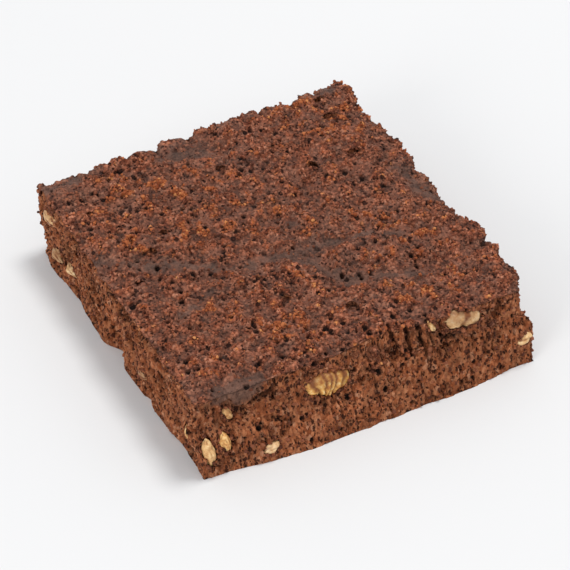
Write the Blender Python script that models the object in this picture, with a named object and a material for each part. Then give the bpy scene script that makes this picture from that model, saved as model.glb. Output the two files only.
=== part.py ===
"""A square of walnut chocolate brownie, cut from a tray bake and lying as baked, crust side up.

The crumb is one solid: a block whose corners, walls and top follow the hand-cut piece, with torn walls,
shallow grooves and banks across the crust, crags, and the larger open bubbles. Each walnut piece that
shows at a cut wall is a solid of its own, set in a pocket of the crumb.

Frame: metres, +Z up, origin under the middle of the block at the table. +X runs along the cut front
wall, +Y from the front wall to the back. The left wall is at -X and the front wall at -Y.
"""

import math
from collections import namedtuple

import bmesh
import bpy
from mathutils import Matrix, Vector, noise

MM = 0.001

# Driving dimensions
HEIGHT = 19.6 * MM  # of the middle of the crust above the table
# Plan of the hand-cut block, in millimetres: (front left, front right, back left, back right)
PLAN_AT_TABLE = ((-39.5, -42.6), (40.6, -44.0), (-39.4, 42.2), (41.2, 44.7))
PLAN_AT_CRUST = ((-40.2, -40.4), (40.8, -40.6), (-38.4, 42.3), (42.1, 45.8))
CELL = 2.0 * MM  # spacing of the grid that carries the relief
RIM_WIDTH = 3.6 * MM  # how far in from a wall the crust starts to round down
RIM_DROP = 1.0 * MM  # how far it has come down at the wall
WALL_REACH = 11.0 * MM  # how far into the crust a dent of a wall is felt
FIT_GAP = 0.3 * MM  # between a nut and its pocket

# Size of the relief: wavelength and height of each layer
SWELL = (16.0 * MM, 0.55 * MM)
LUMPS = (6.5 * MM, 0.85 * MM)
CRAGS = (3.6 * MM, 0.7 * MM)
CRUST_STRETCH = 0.6  # lumps of the crust are drawn out along X by its inverse
FOOT_BAND = 6.0 * MM  # below this height the walls are the more even the nearer they are to the table
FOOT_RELIEF = 0.3  # share of the relief that is left at the table

# A dent of a wall, in millimetres: its place along the wall and up it, its half sizes, and its depth.
# A negative depth is a bulge.
Dent = namedtuple("Dent", "along up half_along half_up depth")
DENTS = {
    "left": (
        Dent(1, 3, 4.5, 17, 2.7),  # the fold that runs down the middle of the wall
        Dent(-16, 0, 2.6, 7, 1.0),
        Dent(43, 3, 7, 9, 1.4),  # the undercut back corner
        Dent(24, 0, 12, 9, 0.9),
        Dent(-33, 0, 10, 9, 0.6),
    ),
    "front": (
        Dent(5, 20, 13, 9, 1.6),  # the torn rim in the middle
        Dent(-31, 13, 7, 5, 1.4),  # the hollow under the crust's lip
        Dent(33, 13, 2.6, 9, 1.2),  # the crack near the right corner
        Dent(-12, 19, 5, 5, 0.8),
        Dent(22, 11, 8, 3, 0.7),
        Dent(-5, 0, 44, 13, -2.3),  # the foot of the wall, which stands proud
        Dent(-19, 0, 15, 7, -0.7),
        Dent(23, 0, 14, 7, -0.9),
    ),
    "right": (
        Dent(-43, 17, 8, 9, 3.6),  # the crumbled top of the front corner
        Dent(-8, 18, 9, 9, 1.6),
        Dent(-43, 10.5, 4, 3.5, -1.9),  # the crumb that stands out at the front corner
        Dent(12, 19, 6, 9, -0.9),
        Dent(19.5, 18, 4, 9, -1.9),
        Dent(-19, 19, 9, 8, -1.1),
        Dent(-34, 19, 3, 6, -0.7),
    ),
    "back": (
        Dent(-30, 18, 7, 7, 0.8),
        Dent(-12, 17, 4, 9, 1.4),
        Dent(-19, 20, 6, 9, -1.0),
        Dent(-5, 20, 4, 9, -1.0),
        Dent(13, 20, 13, 9, -1.5),
        Dent(6, 6, 14, 9, 0.7),
        Dent(29, 18, 3, 6, 0.6),
    ),
}

# A stroke across the crust, in millimetres: its two ends, half its width, and its depth.
# A negative depth is a bank of crumb.
Stroke = namedtuple("Stroke", "start end half_width depth")
STROKES = (
    Stroke((-42, 9), (-21, -5), 3.2, 1.0),
    Stroke((-21, -5), (14, -8), 3.8, 1.0),
    Stroke((1, -11), (6, -21), 3.2, 0.7),
    Stroke((6, -21), (42, -26), 3.8, 1.0),
    Stroke((-31, -15), (-24, -12), 2.0, 0.9),
    Stroke((38, 12), (38, -6), 6.0, 0.9),
    Stroke((-9, 37), (4, 37), 7.0, 0.6),
    Stroke((-34, 12), (0, 10), 4.5, -0.7),
    Stroke((-24, 27), (8, 27), 5.0, -0.6),
    Stroke((10, -14), (28, -18), 4.5, -0.7),
    Stroke((-20, -29), (-8, -29), 5.0, -0.5),
    Stroke((36, 41), (40, 41), 5.5, -1.3),  # the raised back right corner
    Stroke((-39, 38), (-37, 38), 5.0, -0.7),
)

# An open bubble: the side it opens on, its place there, and its half sizes along, across and in, in
# millimetres. On the crust the place is (x, y), on a wall (along, up).
Bubble = namedtuple("Bubble", "side place half_sizes")
BUBBLES = (
    Bubble("crust", (31.5, 32.2), (2.4, 1.5, 2.0)),
    Bubble("crust", (31.4, 38.2), (1.7, 1.1, 1.6)),
    Bubble("crust", (-0.9, 26.8), (1.2, 1.2, 1.6)),
    Bubble("crust", (18.2, 17.3), (1.5, 1.1, 1.7)),
    Bubble("crust", (29.6, 17.0), (1.8, 1.1, 1.6)),
    Bubble("crust", (-27.9, 6.7), (1.4, 1.0, 1.5)),
    Bubble("crust", (-33.9, -1.6), (1.2, 1.2, 1.6)),
    Bubble("crust", (-22.5, 11.1), (1.7, 0.9, 1.6)),
    Bubble("crust", (-34.1, 26.8), (1.1, 1.2, 1.5)),
    Bubble("crust", (-8.6, -22.3), (1.1, 1.2, 1.6)),
    Bubble("crust", (2.5, -31.3), (1.4, 1.1, 1.7)),
    Bubble("left", (20.9, 15.6), (2.6, 1.2, 2.6)),
    Bubble("left", (4.6, 14.4), (1.1, 2.0, 1.8)),
    Bubble("left", (-39.2, 3.6), (1.3, 1.5, 1.8)),
    Bubble("front", (6.4, 14.2), (1.0, 2.4, 2.0)),
    Bubble("front", (19.0, 12.2), (1.7, 1.0, 1.7)),
    Bubble("front", (-1.6, 10.8), (1.5, 1.2, 1.8)),
    Bubble("front", (-28.6, 12.4), (1.8, 1.0, 1.8)),
)

# A walnut piece at a wall: its place along the wall and up it, its length and height on the wall, how
# far it reaches in, its turn on the wall in degrees, and the ribs across it. Sizes in millimetres.
Nut = namedtuple("Nut", "name wall along up length height reach turn ribs")
NUTS = (
    Nut("walnut_front_middle", "front", -9.9, 12.8, 11.4, 5.4, 5.6, 0, 5),
    Nut("walnut_front_right", "front", 23.2, 17.2, 11.2, 4.0, 5.2, -11, 4),
    Nut("walnut_front_sliver", "front", 15.6, 17.9, 2.9, 1.3, 2.4, -62, 0),
    Nut("walnut_corner", "front", -38.2, 5.6, 9.4, 2.8, 3.0, -82, 0),
    Nut("walnut_front_left", "front", -34.3, 7.0, 6.0, 2.6, 3.4, -78, 0),
    Nut("walnut_front_chip", "front", -32.5, 13.0, 3.8, 1.6, 2.4, -60, 0),
    Nut("walnut_front_low", "front", -24.9, 2.9, 4.3, 2.5, 3.2, 14, 0),
    Nut("walnut_right_corner", "front", 38.0, 6.6, 4.6, 2.6, 3.6, 6, 0),
    Nut("walnut_left_high", "left", 36.6, 15.2, 5.4, 3.2, 3.4, 4, 0),
    Nut("walnut_left_low", "left", 26.2, 6.8, 5.2, 2.0, 3.2, 26, 0),
    Nut("walnut_left_back", "left", 34.3, 5.8, 5.0, 2.3, 3.4, 25, 0),
    Nut("walnut_left_middle", "left", -14.2, 6.6, 3.8, 3.3, 3.2, 0, 0),
    Nut("walnut_left_front", "left", -38.0, 8.4, 5.2, 2.0, 2.6, 76, 0),
)
NUT_SETBACK = 0.32  # share of a nut's reach by which its middle lies behind the wall
NUT_ROUGHNESS = 0.12  # share of a nut's size by which noise moves its surface
RIB_DEPTH = 0.3 * MM
NOISE_SEED = Vector((13.7, 4.2, 8.9))  # where in the noise field the block lies

CRUMB_COLOUR = (0.178, 0.068, 0.038, 1)
NUT_COLOUR = (0.62, 0.40, 0.17, 1)


def clear_scene():
    for obj in list(bpy.data.objects):
        bpy.data.objects.remove(obj)


def make_collection(name):
    collection = bpy.data.collections.new(name)
    bpy.context.scene.collection.children.link(collection)
    return collection


def make_material(name, colour, roughness):
    material = bpy.data.materials.new(name)
    material.use_nodes = True
    shader = material.node_tree.nodes["Principled BSDF"]
    shader.inputs["Base Color"].default_value = colour
    shader.inputs["Roughness"].default_value = roughness
    shader.inputs["Metallic"].default_value = 0
    return material


def make_object(name, bm, collection, material=None):
    """Turns a bmesh into an object whose smooth stretches are shaded smooth."""
    mesh = bpy.data.meshes.new(name)
    bm.to_mesh(mesh)
    bm.free()
    mesh.shade_smooth()
    mesh.set_sharp_from_angle(angle=math.radians(40))
    if material:
        mesh.materials.append(material)
    obj = bpy.data.objects.new(name, mesh)
    collection.objects.link(obj)
    return obj


def fall_off(distance, half_width):
    """1 at no distance, smoothly down to 0 at half_width and beyond."""
    share = min(1.0, abs(distance) / half_width)
    return (1 - share * share) ** 2


def plan_point(plan, u, v):
    """The point of a four-cornered plan at shares u along X and v along Y, in metres."""
    front_left, front_right, back_left, back_right = (Vector(corner) for corner in plan)
    front = front_left.lerp(front_right, u)
    back = back_left.lerp(back_right, u)
    return front.lerp(back, v) * MM


def wall_dent(wall, along, up):
    """How far a wall is pushed in, at a place in metres along it and up it."""
    return sum(
        dent.depth
        * MM
        * fall_off(along - dent.along * MM, dent.half_along * MM)
        * fall_off(up - dent.up * MM, dent.half_up * MM)
        for dent in DENTS[wall]
    )


def stroke_depth(stroke, place):
    """How far a stroke lowers the crust at a place in plan, in metres."""
    start, end = Vector(stroke.start) * MM, Vector(stroke.end) * MM
    run = end - start
    share = max(0.0, min(1.0, (place - start).dot(run) / run.length_squared))
    distance = (place - start - run * share).length
    return stroke.depth * MM * fall_off(distance, stroke.half_width * MM)


def block_point(share):
    """The point of the smooth block at shares (u, v, w) of its width, depth and height."""
    u, v, w = share
    place = plan_point(PLAN_AT_TABLE, u, v).lerp(plan_point(PLAN_AT_CRUST, u, v), w)
    up = w * HEIGHT
    width = plan_point(PLAN_AT_TABLE, 1, v).x - plan_point(PLAN_AT_TABLE, 0, v).x
    depth = plan_point(PLAN_AT_TABLE, u, 1).y - plan_point(PLAN_AT_TABLE, u, 0).y
    from_wall = {
        "left": u * width,
        "right": (1 - u) * width,
        "front": v * depth,
        "back": (1 - v) * depth,
    }
    felt = {wall: fall_off(gap, WALL_REACH) for wall, gap in from_wall.items()}
    moved = Vector(
        (
            place.x
            + felt["left"] * wall_dent("left", place.y, up)
            - felt["right"] * wall_dent("right", place.y, up),
            place.y
            + felt["front"] * wall_dent("front", place.x, up)
            - felt["back"] * wall_dent("back", place.x, up),
        )
    )
    crust = HEIGHT - sum(stroke_depth(stroke, moved) for stroke in STROKES)
    crust -= RIM_DROP * fall_off(min(from_wall.values()), RIM_WIDTH)
    return Vector((moved.x, moved.y, w * crust))


def layer(point, wavelength, height):
    return height * noise.noise(point / wavelength + NOISE_SEED)


def billow(point, wavelength, height):
    """Round lumps with creases between them."""
    return height * (2 * abs(noise.noise(point / wavelength + NOISE_SEED)) - 0.5)


def relief(point, normal):
    """How far the crags stand out from the smooth block at a point."""
    drawn_out = Vector((point.x * CRUST_STRETCH, point.y, point.z))
    lying = max(0.0, normal.z)
    lumps = billow(point.lerp(drawn_out, lying), *LUMPS)
    share = FOOT_RELIEF + (1 - FOOT_RELIEF) * min(1.0, point.z / FOOT_BAND)
    return share * (layer(point, *SWELL) + lumps + layer(point, *CRAGS))


def subdivided_cube():
    """A unit cube whose faces are cut into a grid of about CELL, with its base left as one face."""
    bm = bmesh.new()
    bmesh.ops.create_cube(bm, size=1, matrix=Matrix.Translation((0.5, 0.5, 0.5)))
    sides = plan_point(PLAN_AT_TABLE, 1, 1) - plan_point(PLAN_AT_TABLE, 0, 0)
    for axis, side in enumerate((sides.x, sides.y, HEIGHT)):
        lying_along = [
            edge
            for edge in bm.edges
            if abs(edge.verts[0].co[axis] - edge.verts[1].co[axis]) > 0.5
        ]
        bmesh.ops.subdivide_edges(
            bm, edges=lying_along, cuts=round(side / CELL) - 1, use_grid_fill=True
        )
    base = [face for face in bm.faces if face.calc_center_median().z < 1e-6]
    bmesh.ops.dissolve_faces(bm, faces=base, use_verts=True)
    return bm


def block_mesh():
    """The crumb before anything is cut from it, with its base flat on the table."""
    bm = subdivided_cube()
    for vertex in bm.verts:
        vertex.co = block_point(vertex.co)
    bm.normal_update()
    moves = {}
    for vertex in bm.verts:
        normal = vertex.normal.copy()
        on_base = vertex.co.z < 1e-6
        if on_base:
            normal = Vector((normal.x, normal.y, 0)).normalized()
        moves[vertex] = relief(vertex.co, normal) * normal
    for vertex, move in moves.items():
        vertex.co += move
        vertex.co.z = max(vertex.co.z, 0)
    return bm


def put_in_middle(block, objects):
    """Moves the meshes so that the middle of the block's box in plan is at the origin."""
    xs = [vertex.co.x for vertex in block.data.vertices]
    ys = [vertex.co.y for vertex in block.data.vertices]
    middle = Vector(((min(xs) + max(xs)) / 2, (min(ys) + max(ys)) / 2, 0))
    for obj in objects:
        obj.data.transform(Matrix.Translation(-middle))


def surface_frame(side, place):
    """A matrix that stands on the block's surface: X along it, Y up or across it, Z into the block."""
    first, second = (value * MM for value in place)
    plan_size = plan_point(PLAN_AT_TABLE, 1, 1) - plan_point(PLAN_AT_TABLE, 0, 0)
    share_along_x = first / plan_size.x + 0.5
    share_along_y = (second if side == "crust" else first) / plan_size.y + 0.5
    up_share = second / HEIGHT
    if side == "crust":
        point = block_point((share_along_x, share_along_y, 1))
        columns = (Vector((1, 0, 0)), Vector((0, -1, 0)), Vector((0, 0, -1)))
    elif side == "front":
        point = block_point((share_along_x, 0, up_share))
        columns = (Vector((1, 0, 0)), Vector((0, 0, 1)), Vector((0, 1, 0)))
    else:
        point = block_point((0, share_along_y, up_share))
        columns = (Vector((0, 1, 0)), Vector((0, 0, 1)), Vector((1, 0, 0)))
    turn = Matrix(columns).transposed().to_4x4()
    return Matrix.Translation(point) @ turn


def add_ball(bm, subdivisions):
    bmesh.ops.create_icosphere(bm, subdivisions=subdivisions, radius=1)


def bubble_mesh(bubble):
    """A slightly uneven ball, sunk so that most of it lies in the crumb."""
    bm = bmesh.new()
    add_ball(bm, 2)
    half_sizes = Vector(bubble.half_sizes) * MM
    for vertex in bm.verts:
        uneven = 1 + 0.15 * noise.noise(vertex.co * 1.7 + half_sizes / MM)
        vertex.co = vertex.co * half_sizes * uneven
    frame = surface_frame(bubble.side, bubble.place)
    bmesh.ops.transform(bm, matrix=frame, verts=bm.verts)
    bmesh.ops.recalc_face_normals(bm, faces=bm.faces)
    return bm


def nut_mesh(nut, extra=0.0):
    """A chopped walnut piece, or its pocket where extra is the room round it."""
    bm = bmesh.new()
    add_ball(bm, 3 if nut.ribs else 2)
    half_sizes = Vector((nut.length, nut.height, nut.reach)) * MM / 2
    for vertex in bm.verts:
        direction = vertex.co.copy()
        uneven = 1 + NUT_ROUGHNESS * noise.noise(direction * 1.4 + half_sizes / MM)
        ribs = RIB_DEPTH * math.cos(nut.ribs * math.pi * direction.x) if nut.ribs else 0
        across = Vector((0, direction.y, direction.z))
        vertex.co = direction * half_sizes * uneven + across * ribs
    bm.normal_update()
    for vertex in bm.verts:
        vertex.co += vertex.normal * extra
    setback = Matrix.Translation((0, 0, NUT_SETBACK * nut.reach * MM))
    turn = Matrix.Rotation(math.radians(nut.turn), 4, "Z")
    frame = surface_frame(nut.wall, (nut.along, nut.up))
    bmesh.ops.transform(bm, matrix=frame @ setback @ turn, verts=bm.verts)
    bmesh.ops.recalc_face_normals(bm, faces=bm.faces)
    return bm


def make_cutter(name, bm, collection):
    cutter = make_object(name, bm, collection)
    cutter.display_type = "WIRE"
    cutter.hide_render = True
    return cutter


def build():
    clear_scene()
    parts = make_collection("brownie")
    cutters = make_collection("brownie_cutters")
    crumb_material = make_material("chocolate_crumb", CRUMB_COLOUR, 0.85)
    nut_material = make_material("walnut_kernel", NUT_COLOUR, 0.6)
    crumb = make_object("brownie_crumb", block_mesh(), parts, crumb_material)
    for number, bubble in enumerate(BUBBLES, start=1):
        make_cutter(f"bubble_{number:02d}", bubble_mesh(bubble), cutters)
    for nut in NUTS:
        make_object(nut.name, nut_mesh(nut), parts, nut_material)
        make_cutter(f"pocket_{nut.name}", nut_mesh(nut, FIT_GAP), cutters)
    cut = crumb.modifiers.new("bubbles_and_pockets", "BOOLEAN")
    cut.operation = "DIFFERENCE"
    cut.operand_type = "COLLECTION"
    cut.collection = cutters
    cut.solver = "EXACT"
    put_in_middle(crumb, [*parts.objects, *cutters.objects])


build()
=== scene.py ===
# %% [markdown]
# Walnut chocolate brownie
#
# This lesson dresses a square of chocolate brownie that was built elsewhere as plain solids. The solids
# give the size, the outline and the place of every walnut piece. Here they get what the eye reads as
# cake: an open crumb full of pores, a thin dark crust, toasted crumbs and cut walnut.
#
# The frame is in metres with +Z up. The cut front wall faces -Y, the left wall faces -X.

# %% Load the solids
import math
from collections import namedtuple

import bmesh
import bpy
import numpy as np
from mathutils import Matrix, Vector, kdtree, noise


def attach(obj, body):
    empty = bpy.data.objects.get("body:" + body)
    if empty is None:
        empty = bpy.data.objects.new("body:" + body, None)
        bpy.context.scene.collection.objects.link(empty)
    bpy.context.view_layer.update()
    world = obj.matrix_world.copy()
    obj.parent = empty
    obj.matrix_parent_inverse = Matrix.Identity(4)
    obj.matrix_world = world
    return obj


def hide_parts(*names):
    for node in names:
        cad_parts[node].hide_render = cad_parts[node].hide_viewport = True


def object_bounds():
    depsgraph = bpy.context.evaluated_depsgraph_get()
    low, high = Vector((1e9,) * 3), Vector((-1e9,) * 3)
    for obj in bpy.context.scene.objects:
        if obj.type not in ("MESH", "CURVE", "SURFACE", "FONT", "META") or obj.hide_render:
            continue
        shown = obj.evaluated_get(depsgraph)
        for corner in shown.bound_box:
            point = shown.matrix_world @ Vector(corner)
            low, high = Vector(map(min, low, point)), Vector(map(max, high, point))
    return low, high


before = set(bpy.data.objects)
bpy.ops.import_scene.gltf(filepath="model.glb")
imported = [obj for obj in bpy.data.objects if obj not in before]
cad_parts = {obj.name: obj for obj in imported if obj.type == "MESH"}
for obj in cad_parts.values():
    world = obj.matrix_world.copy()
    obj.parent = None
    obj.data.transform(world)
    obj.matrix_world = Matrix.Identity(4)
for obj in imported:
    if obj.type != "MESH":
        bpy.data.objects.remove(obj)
MM = 0.001
scene = bpy.context.scene
cad_box = [[float(value) for value in corner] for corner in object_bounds()]
print("solids:", len(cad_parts))
print("box in mm:", [[round(value / MM, 1) for value in corner] for corner in cad_box])

# %% [markdown]
# Colours are written as sRGB hex values, as a colour picker shows them, and Blender's sockets want linear
# light, so one function turns one into the other. A second small function adds a shader node with its
# settings and its links, so that a material reads as a list of what is wired to what.
#
# Four nodes do most of the work. MapRange maps a value from one pair of numbers to another and stops at
# both, Math calculates, Mix lays one colour over another by a factor, and ValToRGB, the colour ramp, turns
# a value into a colour.

# %% Colours and nodes
COLOURS = {"data_type": "RGBA"}  # makes a Mix node mix colours
FACTOR, UNDER, OVER, MIXED = 0, 6, 7, 2  # its sockets then: the factor, two colours and the result


def linear(hex_colour):
    """The linear colour, with its alpha, of an sRGB hex value."""
    channels = [int(hex_colour[i : i + 2], 16) / 255 for i in (1, 3, 5)]
    return (*[c / 12.92 if c <= 0.04045 else ((c + 0.055) / 1.055) ** 2.4 for c in channels], 1.0)


def add_node(tree, kind, settings=None, links=None, stops=()):
    """Adds a node and hands back its outputs.

    settings holds properties or sockets' values, links holds what feeds its sockets, and stops are the
    (place, sRGB hex) of a colour ramp, from left to right.
    """
    node = tree.nodes.new("ShaderNode" + kind)
    for key, value in (settings or {}).items():
        if isinstance(key, str) and hasattr(node, key):
            setattr(node, key, value)
        else:
            node.inputs[key].default_value = value
    for key, source in (links or {}).items():
        tree.links.new(source, node.inputs[key])
    if stops:
        elements = node.color_ramp.elements
        elements[0].position, elements[1].position = stops[0][0], stops[-1][0]
        elements[0].color, elements[1].color = linear(stops[0][1]), linear(stops[-1][1])
        for place, colour in stops[1:-1]:
            elements.new(place).color = linear(colour)
    return node.outputs


def new_material(name, roughness, specular):
    """A material with its node tree and its shader. What is the same all over is set on the shader."""
    material = bpy.data.materials.new(name)
    material.use_nodes = True
    shader = material.node_tree.nodes["Principled BSDF"]
    shader.inputs["Roughness"].default_value = roughness
    shader.inputs["Specular IOR Level"].default_value = specular
    return material, material.node_tree, shader


print("the middle grey #808080 is", round(linear("#808080")[0], 3), "in linear light")

# %% [markdown]
# The camera looks down on the front corner through a long lens, so the square shows its crust and two of
# its cut walls. A long lens far away keeps the edges nearly parallel, as in a pack shot. Its place is
# given by two angles, a distance and a small shift of the aim, which reads better than a matrix.

# %% Camera
AZIMUTH = math.radians(-28.28)
ELEVATION = math.radians(39.33)
DISTANCE = 0.4974
AIM_RIGHT, AIM_UP = 0.00126, 0.00376
FOCAL_LENGTH_MM = 138.95  # on a sensor 36 mm wide

back = Vector((
    math.sin(AZIMUTH) * math.cos(ELEVATION),
    -math.cos(AZIMUTH) * math.cos(ELEVATION),
    math.sin(ELEVATION),
))
right = Vector((0, 0, 1)).cross(back).normalized()
up = back.cross(right)
camera_data = bpy.data.cameras.new("camera")
camera_data.lens = FOCAL_LENGTH_MM
camera_data.sensor_width = 36
camera = bpy.data.objects.new("camera", camera_data)
eye = back * DISTANCE + right * AIM_RIGHT + up * AIM_UP
camera.matrix_world = Matrix.Translation(eye) @ Matrix((right, up, back)).transposed().to_4x4()
scene.collection.objects.link(camera)
scene.camera = camera
print("camera at", [round(value, 3) for value in eye])

# %% [markdown]
# The square lies on a seamless white sheet in a light tent: light comes from everywhere, a little more
# from the upper right, so the walls are as bright as the crust and the shadow at the left is faint. A
# bright plain world does most of that, and two wide disks of light add the direction.
#
# The colours here are meant as they are written, so the view transform is the plain sRGB one.

# %% Floor and light
FLOOR_SIZE = 3.0
TENT_STRENGTH = 0.73

scene.view_settings.view_transform = "Standard"
world = bpy.data.worlds.new("light_tent")
world.use_nodes = True
world.node_tree.nodes["Background"].inputs["Color"].default_value = linear("#fafbff")
world.node_tree.nodes["Background"].inputs["Strength"].default_value = TENT_STRENGTH
scene.world = world


def add_disk_light(name, place, size, power):
    """A round soft light that faces the middle of the square."""
    data = bpy.data.lights.new(name, "AREA")
    data.shape = "DISK"
    data.size = size
    data.energy = power
    lamp = bpy.data.objects.new(name, data)
    facing = (-Vector(place)).to_track_quat("-Z", "Y").to_matrix().to_4x4()
    lamp.matrix_world = Matrix.Translation(place) @ facing
    scene.collection.objects.link(lamp)


add_disk_light("softbox", place=(0.35, 0.05, 1.2), size=0.42, power=7.4)
add_disk_light("front_fill", place=(-0.92, -0.45, 0.45), size=0.5, power=3.7)


def finish_mesh(name, bm, material):
    """Makes a piece from a bmesh, at the origin, with its place in its mesh."""
    mesh = bpy.data.meshes.new(name)
    bm.to_mesh(mesh)
    bm.free()
    mesh.materials.append(material)
    piece = bpy.data.objects.new(name, mesh)
    scene.collection.objects.link(piece)
    return piece


paper, _, paper_shader = new_material("white_backdrop_paper", 0.9, 0.0)
paper_shader.inputs["Base Color"].default_value = linear("#e1e1e0")
floor_bm = bmesh.new()
bmesh.ops.create_grid(floor_bm, x_segments=1, y_segments=1, size=FLOOR_SIZE / 2)
floor = finish_mesh("floor", floor_bm, paper)
print("floor and lights are in")

# %% [markdown]
# Crumb is full of pores. One function draws them: one in each cell of a Voronoi pattern, as wide as that
# cell's random value says, with an edge that is a little soft.

# %% Pores in a pattern
PORE_EDGE = {"From Min": -0.04, "From Max": 0.05}  # where it starts and ends, in shares of a cell


def voronoi_pores(tree, vector, apart, radii, less):
    """Round pores in the cells of a Voronoi pattern, from 0 to 1.

    radii maps the cell's random value to its pore's radius, and less is an output that makes every pore
    smaller, and so leaves the smallest out.
    """
    cells = add_node(tree, "TexVoronoi", {"Scale": 1 / apart}, {"Vector": vector})
    draws = add_node(tree, "SeparateColor", links={"Color": cells["Color"]})
    radius = add_node(tree, "MapRange", radii, {"Value": draws["Red"]})["Result"]
    away = add_node(tree, "Math", {"operation": "ADD"}, {0: cells["Distance"], 1: less})["Value"]
    reach = add_node(tree, "Math", {"operation": "SUBTRACT"}, {0: radius, 1: away})["Value"]
    return add_node(tree, "MapRange", PORE_EDGE, {"Value": reach})["Result"]


print("the edge of a pore runs from", PORE_EDGE["From Min"], "to", PORE_EDGE["From Max"])

# %% [markdown]
# Chocolate crumb is a foam of cocoa, flour and fat. What gives it away is that no two neighbouring grains
# have the same brown, each grain catches the light on its own, the creases between them lie in shade, and
# the pores are almost black. So the colour is drawn grain by grain from a Voronoi pattern, which gives every
# cell one random value and says how near its border is. The palest grains are also greyer, a painted glint.
# Slow patches and fine flecks make it paler or darker at random. Painted shade darkens each grain towards
# its border, where the creases lie, and pinprick pores and small bubbles are pricked into it and drawn
# almost black, as painted shade in holes that only the bump dents.
#
# The mesh carries what is larger. Its attribute "pore" says how deep a point lies in an open bubble, a
# slot or a crease, where it lays painted shade in the darkest brown; "film" says where the smooth dark crust
# covers the crumb, "toast" how many grains are baked orange-brown, and "cut" is 1 on the walls, which a
# knife opened, so that they are a warmer brown than the crust.

# %% Crumb material
GRAIN = 0.74 * MM  # across one grain of the crumb
PATCH = 5.0 * MM  # across a patch of one brown
FLECK = 0.34 * MM  # across a fleck of paler or darker brown
PORES_APART = 0.72 * MM  # from one pinprick pore to the next
BUBBLES_APART = 1.9 * MM  # from one small open bubble to the next
WOBBLE, WOBBLE_ACROSS = 0.65 * MM, 0.6 * MM  # bends the outlines of grains and pores
FINE_GRIT = 0.2 * MM  # the smallest grit that shows
WALL_STRETCH = 0.6  # of Z on a wall, so that grains and pores are longer than wide
PINPRICK_RADII = {"From Min": 0.05, "To Min": 0.06, "To Max": 0.53}  # in shares of PORES_APART
BUBBLE_RADII = {"From Min": 0.3, "To Max": 0.32}  # in shares of BUBBLES_APART
FEWER_ON_CRUST = {"To Min": 0.12, "To Max": 0.0}  # makes pinpricks smaller on the crust, so fewer are left
FEWER_ON_CUT = {"To Max": 0.09}  # the same for the small bubbles on the walls
PATCH_SHADES = {"From Min": 0.3, "From Max": 0.7, "To Min": 0.88, "To Max": 1.54}  # from dark to pale
FLECK_SHADES = {"From Min": 0.3, "From Max": 0.7, "To Min": -0.13, "To Max": 0.13}  # added to that
# Painted shade in the creases between grains: how much darker they are drawn, on the crust and on a cut.
PAINTED_CREASE_SHADE = {"To Min": 0.75, "To Max": 0.3}  # of the creases between grains, on the crust and on a cut
GRAIN_BUMP = 0.35 * MM  # how far the shading lets grains and pores stand out
# Each grain's own brown, drawn at random; the palest stops are also greyer, a painted glint on grains that
# catch the light.
CRUST_BROWNS_AND_GLINT = ((0.0, "#65311f"), (0.4, "#925339"), (0.8, "#a6674c"), (1.0, "#b1765b"))
CUT_BROWNS_AND_GLINT = ((0.0, "#7b4022"), (0.5, "#995a38"), (0.9, "#a66b48"), (1.0, "#ae795b"))
TOASTED_BROWNS = ((0.0, "#8a4426"), (0.5, "#ac5f37"), (1.0, "#cb8550"))
FILM_BROWNS = ((0.42, "#4d3c34"), (0.58, "#6b5044"))


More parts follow.
